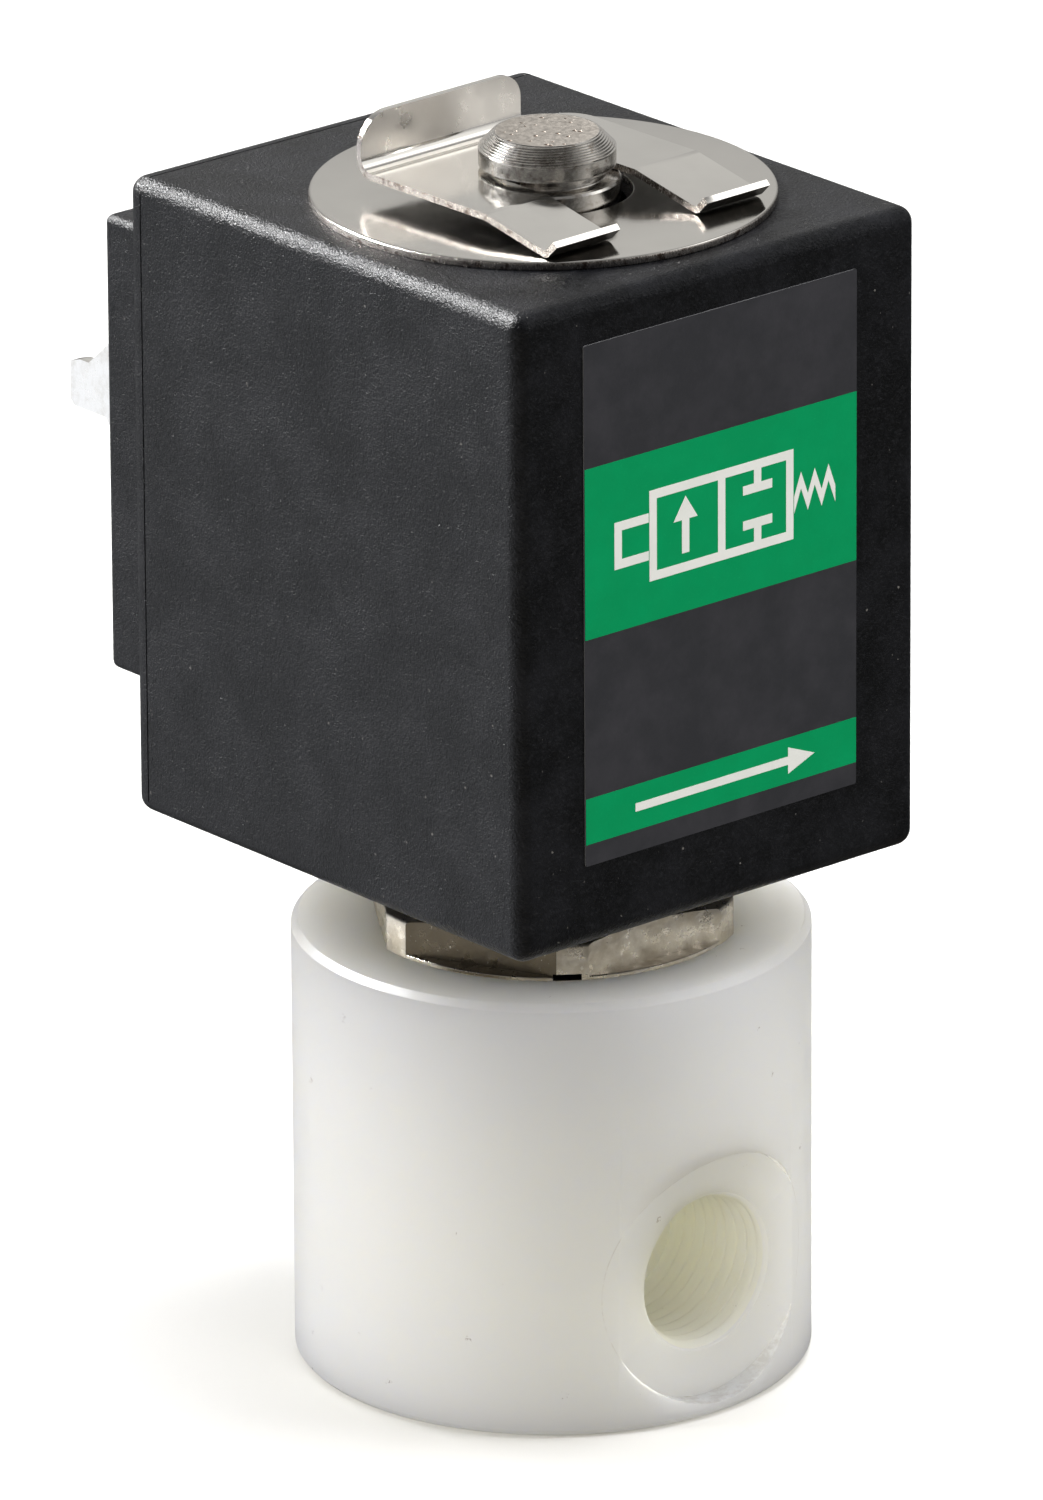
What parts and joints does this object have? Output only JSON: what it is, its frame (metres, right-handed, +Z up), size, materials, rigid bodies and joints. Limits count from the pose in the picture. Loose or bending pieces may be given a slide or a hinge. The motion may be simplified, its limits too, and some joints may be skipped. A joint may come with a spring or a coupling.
{
  "type": "solenoid valve",
  "caption": "Two-way solenoid valve: round plastic body with threaded ports, hexagonal bonnet nut, and a square coil held on its core tube by a washer and a spring clip.",
  "frame": {"origin": "centre of the valve body's bottom face, on the axis of the core tube", "axes": "+Z up along the core tube, -Y the front with the inlet port and the label, +Y the rear with the outlet port and the terminals"},
  "size_m": [0.03, 0.0466, 0.0748],
  "materials": {
    "white_plastic": "turned, slightly translucent white fluoroplastic",
    "nickel_brass": "milled and turned brass, thin nickel plating",
    "turned_steel": "turned stainless steel with fine tool marks",
    "polished_steel": "bright rolled sheet with a sheared edge",
    "black_moulding": "moulded black thermoset, fine satin grain",
    "label": "smooth dark film with two green bands and a plain symbol",
    "black_rubber": "matt black nitrile rubber",
    "copper": "enamelled copper wire",
    "soft_iron": "zinc-plated magnetic steel",
    "tinned_brass": "tinned brass, stamped",
    "brass": "turned brass",
    "bobbin_plastic": "glass-filled natural nylon",
    "wire_sleeve": "flexible red sleeve"
  },
  "bodies": {
    "valve": {"valve_body": "white_plastic", "bonnet_nut": "nickel_brass", "core_tube": "turned_steel", "fixed_core": "turned_steel", "shading_ring": "copper", "tube_o_ring": "black_rubber", "bellows_clamp_ring": "turned_steel", "bellows": "white_plastic", "return_spring": "turned_steel", "coil_gasket": "black_rubber", "coil_washer": "polished_steel"},
    "armature": {"plunger": "turned_steel", "guide_ring": "white_plastic", "plunger_stem": "turned_steel", "poppet": "white_plastic"},
    "coil": {"coil_housing": "black_moulding", "bobbin": "bobbin_plastic", "winding": "copper", "yoke": "soft_iron", "lower_flux_bush": "soft_iron", "upper_flux_bush": "soft_iron", "power_terminals": "tinned_brass", "ground_terminal": "tinned_brass", "screw_insert": "brass", "coil_leads": "wire_sleeve", "rating_label": "label"},
    "clip": {"retaining_clip": "polished_steel"}
  },
  "joints": [
    {"name": "plunger_lift", "type": "slide", "parent": "valve", "child": "armature", "axis": [0, 0, 1], "range_m": [0, 0.001], "stiffness_N_per_m": 250, "springref_m": -0.008, "deforming": ["return_spring", "bellows"]},
    {"name": "coil_turn", "type": "hinge", "parent": "valve", "child": "coil", "pos_m": [0, 0, 0.0504], "axis": [0, 0, 1], "continuous": true},
    {"name": "clip_turn", "type": "hinge", "parent": "valve", "child": "clip", "pos_m": [0, 0, 0.0714], "axis": [0, 0, 1], "continuous": true}
  ]
}
